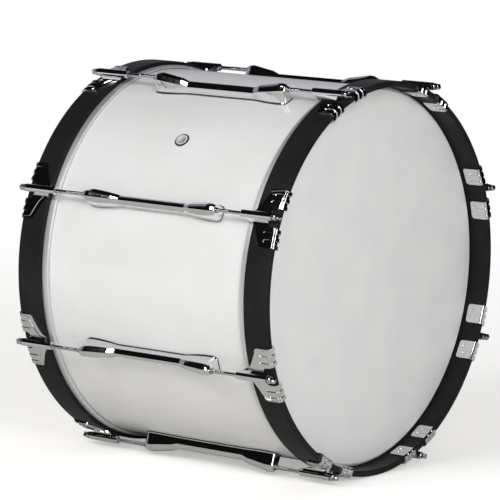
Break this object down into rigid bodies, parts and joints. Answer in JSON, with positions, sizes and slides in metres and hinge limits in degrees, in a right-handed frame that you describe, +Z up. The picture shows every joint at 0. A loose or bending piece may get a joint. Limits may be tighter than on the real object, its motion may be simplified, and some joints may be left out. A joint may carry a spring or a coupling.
{
  "type": "bass drum",
  "caption": "Double-headed bass drum with a white wrapped shell, black wooden hoops, chrome bridge lugs, tension rods and double-leg claws.",
  "frame": {"origin": "below the middle of the shell, on the plane that the two wooden hoops stand on", "axes": "+Y along the drum's axis from the front head to the rear head, +Z up, +X to the right seen from the front; the air vent is on the -X side"},
  "size_m": [0.5272, 0.4274, 0.5272],
  "materials": {
    "white_wrap": "birch plies under a glossy white wrap",
    "coated_film": "matt coated polyester film",
    "rolled_aluminium": "satin rolled channel",
    "black_lacquered_wood": "satin black lacquer over maple plies",
    "chrome_casting": "polished zinc casting, chrome plated",
    "chrome_rod": "bright plated steel with a rolled thread",
    "chrome_plate": "turned and polished, chrome plated",
    "zinc_steel": "zinc plated",
    "plated_brass": "nickel plated",
    "black_nylon": "moulded nylon",
    "black_rubber": "moulded rubber"
  },
  "bodies": {
    "shell": {"shell": "white_wrap", "vent_grommet": "chrome_plate", "vent_nut": "chrome_plate", "lug_1": "chrome_casting", "lug_2": "chrome_casting", "lug_3": "chrome_casting", "lug_4": "chrome_casting", "lug_5": "chrome_casting", "lug_6": "chrome_casting", "lug_7": "chrome_casting", "lug_8": "chrome_casting", "lug_gaskets": "black_rubber", "lug_screws": "zinc_steel", "lug_washers": "zinc_steel", "swivel_nuts": "plated_brass", "nut_sleeves": "black_nylon"},
    "front_rim": {"front_hoop": "black_lacquered_wood", "front_head": "coated_film", "front_flesh_hoop": "rolled_aluminium", "front_claw_1": "chrome_casting", "front_claw_2": "chrome_casting", "front_claw_3": "chrome_casting", "front_claw_4": "chrome_casting", "front_claw_5": "chrome_casting", "front_claw_6": "chrome_casting", "front_claw_7": "chrome_casting", "front_claw_8": "chrome_casting", "front_rod_washers": "black_nylon"},
    "front_rod_1_body": {"front_rod_1": "chrome_rod"},
    "front_rod_2_body": {"front_rod_2": "chrome_rod"},
    "front_rod_3_body": {"front_rod_3": "chrome_rod"},
    "front_rod_4_body": {"front_rod_4": "chrome_rod"},
    "front_rod_5_body": {"front_rod_5": "chrome_rod"},
    "front_rod_6_body": {"front_rod_6": "chrome_rod"},
    "front_rod_7_body": {"front_rod_7": "chrome_rod"},
    "front_rod_8_body": {"front_rod_8": "chrome_rod"},
    "rear_rim": {"rear_hoop": "black_lacquered_wood", "rear_head": "coated_film", "rear_flesh_hoop": "rolled_aluminium", "rear_claw_1": "chrome_casting", "rear_claw_2": "chrome_casting", "rear_claw_3": "chrome_casting", "rear_claw_4": "chrome_casting", "rear_claw_5": "chrome_casting", "rear_claw_6": "chrome_casting", "rear_claw_7": "chrome_casting", "rear_claw_8": "chrome_casting", "rear_rod_washers": "black_nylon"},
    "rear_rod_1_body": {"rear_rod_1": "chrome_rod"},
    "rear_rod_2_body": {"rear_rod_2": "chrome_rod"},
    "rear_rod_3_body": {"rear_rod_3": "chrome_rod"},
    "rear_rod_4_body": {"rear_rod_4": "chrome_rod"},
    "rear_rod_5_body": {"rear_rod_5": "chrome_rod"},
    "rear_rod_6_body": {"rear_rod_6": "chrome_rod"},
    "rear_rod_7_body": {"rear_rod_7": "chrome_rod"},
    "rear_rod_8_body": {"rear_rod_8": "chrome_rod"}
  },
  "joints": [
    {"name": "front_tuning", "type": "slide", "parent": "shell", "child": "front_rim", "axis": [0, -1, 0], "range_m": [0, 0.012]},
    {"name": "front_rod_1_turn", "type": "hinge", "parent": "front_rim", "child": "front_rod_1_body", "pos_m": [-0.10409, -0.2, 0.51489], "axis": [0, -1, 0], "range_deg": [0, 4100]},
    {"name": "front_rod_2_turn", "type": "hinge", "parent": "front_rim", "child": "front_rod_2_body", "pos_m": [-0.25129, -0.2, 0.36769], "axis": [0, -1, 0], "range_deg": [0, 4100]},
    {"name": "front_rod_3_turn", "type": "hinge", "parent": "front_rim", "child": "front_rod_3_body", "pos_m": [-0.25129, -0.2, 0.15951], "axis": [0, -1, 0], "range_deg": [0, 4100]},
    {"name": "front_rod_4_turn", "type": "hinge", "parent": "front_rim", "child": "front_rod_4_body", "pos_m": [-0.10409, -0.2, 0.0123], "axis": [0, -1, 0], "range_deg": [0, 4100]},
    {"name": "front_rod_5_turn", "type": "hinge", "parent": "front_rim", "child": "front_rod_5_body", "pos_m": [0.10409, -0.2, 0.0123], "axis": [0, -1, 0], "range_deg": [0, 4100]},
    {"name": "front_rod_6_turn", "type": "hinge", "parent": "front_rim", "child": "front_rod_6_body", "pos_m": [0.25129, -0.2, 0.15951], "axis": [0, -1, 0], "range_deg": [0, 4100]},
    {"name": "front_rod_7_turn", "type": "hinge", "parent": "front_rim", "child": "front_rod_7_body", "pos_m": [0.25129, -0.2, 0.36769], "axis": [0, -1, 0], "range_deg": [0, 4100]},
    {"name": "front_rod_8_turn", "type": "hinge", "parent": "front_rim", "child": "front_rod_8_body", "pos_m": [0.10409, -0.2, 0.51489], "axis": [0, -1, 0], "range_deg": [0, 4100]},
    {"name": "rear_tuning", "type": "slide", "parent": "shell", "child": "rear_rim", "axis": [0, 1, 0], "range_m": [0, 0.012]},
    {"name": "rear_rod_1_turn", "type": "hinge", "parent": "rear_rim", "child": "rear_rod_1_body", "pos_m": [-0.10409, 0.2, 0.51489], "axis": [0, 1, 0], "range_deg": [0, 4100]},
    {"name": "rear_rod_2_turn", "type": "hinge", "parent": "rear_rim", "child": "rear_rod_2_body", "pos_m": [-0.25129, 0.2, 0.36769], "axis": [0, 1, 0], "range_deg": [0, 4100]},
    {"name": "rear_rod_3_turn", "type": "hinge", "parent": "rear_rim", "child": "rear_rod_3_body", "pos_m": [-0.25129, 0.2, 0.15951], "axis": [0, 1, 0], "range_deg": [0, 4100]},
    {"name": "rear_rod_4_turn", "type": "hinge", "parent": "rear_rim", "child": "rear_rod_4_body", "pos_m": [-0.10409, 0.2, 0.0123], "axis": [0, 1, 0], "range_deg": [0, 4100]},
    {"name": "rear_rod_5_turn", "type": "hinge", "parent": "rear_rim", "child": "rear_rod_5_body", "pos_m": [0.10409, 0.2, 0.0123], "axis": [0, 1, 0], "range_deg": [0, 4100]},
    {"name": "rear_rod_6_turn", "type": "hinge", "parent": "rear_rim", "child": "rear_rod_6_body", "pos_m": [0.25129, 0.2, 0.15951], "axis": [0, 1, 0], "range_deg": [0, 4100]},
    {"name": "rear_rod_7_turn", "type": "hinge", "parent": "rear_rim", "child": "rear_rod_7_body", "pos_m": [0.25129, 0.2, 0.36769], "axis": [0, 1, 0], "range_deg": [0, 4100]},
    {"name": "rear_rod_8_turn", "type": "hinge", "parent": "rear_rim", "child": "rear_rod_8_body", "pos_m": [0.10409, 0.2, 0.51489], "axis": [0, 1, 0], "range_deg": [0, 4100]}
  ],
  "couplings": [
    {"joint": "front_rod_1_turn", "follows": "front_tuning", "rad_per_m": 5936.9},
    {"joint": "front_rod_2_turn", "follows": "front_tuning", "rad_per_m": 5936.9},
    {"joint": "front_rod_3_turn", "follows": "front_tuning", "rad_per_m": 5936.9},
    {"joint": "front_rod_4_turn", "follows": "front_tuning", "rad_per_m": 5936.9},
    {"joint": "front_rod_5_turn", "follows": "front_tuning", "rad_per_m": 5936.9},
    {"joint": "front_rod_6_turn", "follows": "front_tuning", "rad_per_m": 5936.9},
    {"joint": "front_rod_7_turn", "follows": "front_tuning", "rad_per_m": 5936.9},
    {"joint": "front_rod_8_turn", "follows": "front_tuning", "rad_per_m": 5936.9},
    {"joint": "rear_rod_1_turn", "follows": "rear_tuning", "rad_per_m": 5936.9},
    {"joint": "rear_rod_2_turn", "follows": "rear_tuning", "rad_per_m": 5936.9},
    {"joint": "rear_rod_3_turn", "follows": "rear_tuning", "rad_per_m": 5936.9},
    {"joint": "rear_rod_4_turn", "follows": "rear_tuning", "rad_per_m": 5936.9},
    {"joint": "rear_rod_5_turn", "follows": "rear_tuning", "rad_per_m": 5936.9},
    {"joint": "rear_rod_6_turn", "follows": "rear_tuning", "rad_per_m": 5936.9},
    {"joint": "rear_rod_7_turn", "follows": "rear_tuning", "rad_per_m": 5936.9},
    {"joint": "rear_rod_8_turn", "follows": "rear_tuning", "rad_per_m": 5936.9}
  ]
}
